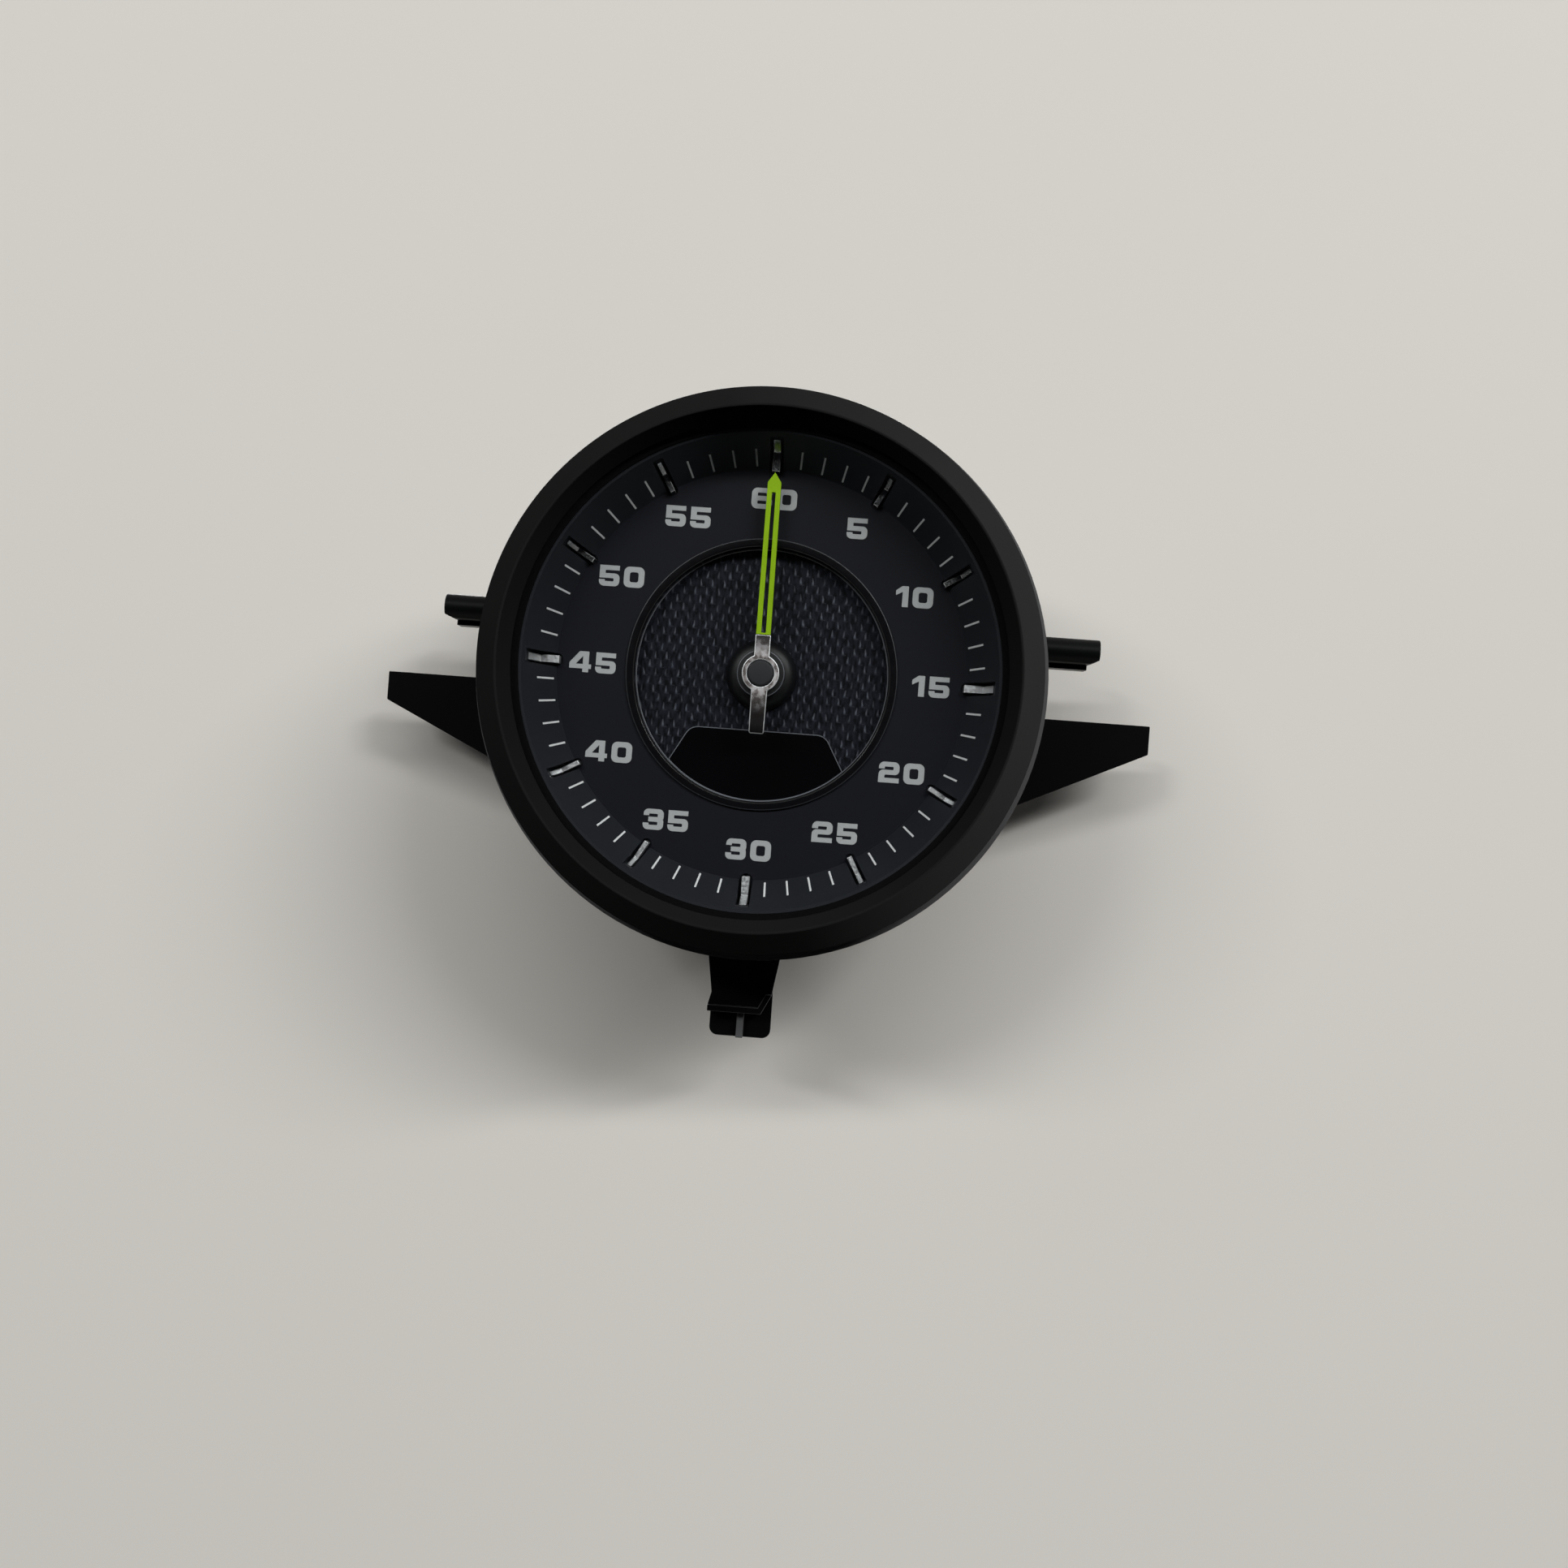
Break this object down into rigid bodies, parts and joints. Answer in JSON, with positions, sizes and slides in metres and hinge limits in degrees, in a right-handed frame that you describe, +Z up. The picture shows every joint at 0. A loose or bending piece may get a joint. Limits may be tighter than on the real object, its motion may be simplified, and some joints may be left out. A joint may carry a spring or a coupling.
{
  "type": "dashboard stopwatch gauge",
  "caption": "Round clip-in dashboard gauge with a green pointer on a 0 to 60 scale, a blank display window, side wings, guide lugs and a release latch.",
  "frame": {"origin": "centre of the flat rear face, on the dial axis", "axes": "+Y along the dial axis towards the rear, so the dial faces -Y; +Z up, towards the 60 mark; +X to the right of the dial seen from the front"},
  "size_m": [0.121, 0.052, 0.0942],
  "materials": {
    "housing_abs": "moulded, fine texture",
    "bracket_abs": "moulded, fine texture",
    "bezel_soft": "soft-touch coated",
    "lens_clear": "clear, polished",
    "gasket_rubber": "matte",
    "chapter_plastic": "moulded, satin",
    "dial_print": "printed, satin",
    "carbon_weave": "woven look under clear coat",
    "trim_gloss": "gloss black",
    "display_black": "dark display glass",
    "plated_chrome": "chrome plated",
    "pointer_green": "acid green",
    "hub_black": "satin black",
    "cap_grey": "matte dark grey",
    "frame_white": "moulded white",
    "guide_clear": "clear acrylic",
    "board_green": "solder mask",
    "chip_black": "moulded epoxy",
    "lamp_white": "white lamp body",
    "pin_brass": "plated pins",
    "steel": "zinc-plated steel",
    "core_steel": "stamped laminations",
    "coil_copper": "enamelled copper wire",
    "magnet_bonded": "bonded magnet",
    "case_white": "moulded",
    "gear_acetal": "moulded acetal",
    "ribbon_film": "polyimide film"
  },
  "bodies": {
    "gauge": {"rear_housing": "housing_abs", "mounting_bracket": "bracket_abs", "bracket_screws": "steel", "circuit_board": "board_green", "board_screws": "steel", "board_chips": "chip_black", "backlight_leds": "lamp_white", "connector_header": "housing_abs", "connector_pins": "pin_brass", "motor_base": "case_white", "motor_cover": "case_white", "stator_core": "core_steel", "motor_coils": "coil_copper", "inner_frame": "frame_white", "light_guide": "guide_clear", "display_module": "chip_black", "display_ribbon": "ribbon_film", "display_glass": "display_black", "dial_plate": "dial_print", "centre_disc": "carbon_weave", "centre_trim_ring": "trim_gloss", "hub_boss": "hub_black", "chapter_ring": "chapter_plastic", "hour_indices": "plated_chrome", "quarter_indices": "plated_chrome", "lens_gasket": "gasket_rubber", "lens": "lens_clear", "bezel_ring": "bezel_soft", "bezel_screws": "steel"},
    "pointer": {"pointer_hand": "pointer_green", "pointer_carrier": "plated_chrome", "pointer_hub": "hub_black", "pointer_cap": "cap_grey", "pointer_spindle": "steel", "output_wheel": "gear_acetal"},
    "intermediate": {"intermediate_wheel": "gear_acetal"},
    "rotor": {"motor_rotor": "magnet_bonded"},
    "latch": {"release_latch": "bracket_abs"}
  },
  "joints": [
    {"name": "pointer_turn", "type": "hinge", "parent": "gauge", "child": "pointer", "pos_m": [0, 0, 0], "axis": [0, 1, 0], "continuous": true},
    {"name": "intermediate_turn", "type": "hinge", "parent": "gauge", "child": "intermediate", "pos_m": [0, 0, 0.0075], "axis": [0, 1, 0], "continuous": true},
    {"name": "rotor_turn", "type": "hinge", "parent": "gauge", "child": "rotor", "pos_m": [0, 0, 0.015], "axis": [0, 1, 0], "continuous": true},
    {"name": "latch_flex", "type": "hinge", "parent": "gauge", "child": "latch", "pos_m": [0, -0.0258, -0.0361], "axis": [1, 0, 0], "range_deg": [0, 8], "stiffness_Nm_per_rad": 0.3}
  ],
  "couplings": [
    {"joint": "intermediate_turn", "follows": "pointer_turn", "ratio": -4},
    {"joint": "rotor_turn", "follows": "pointer_turn", "ratio": 16}
  ]
}
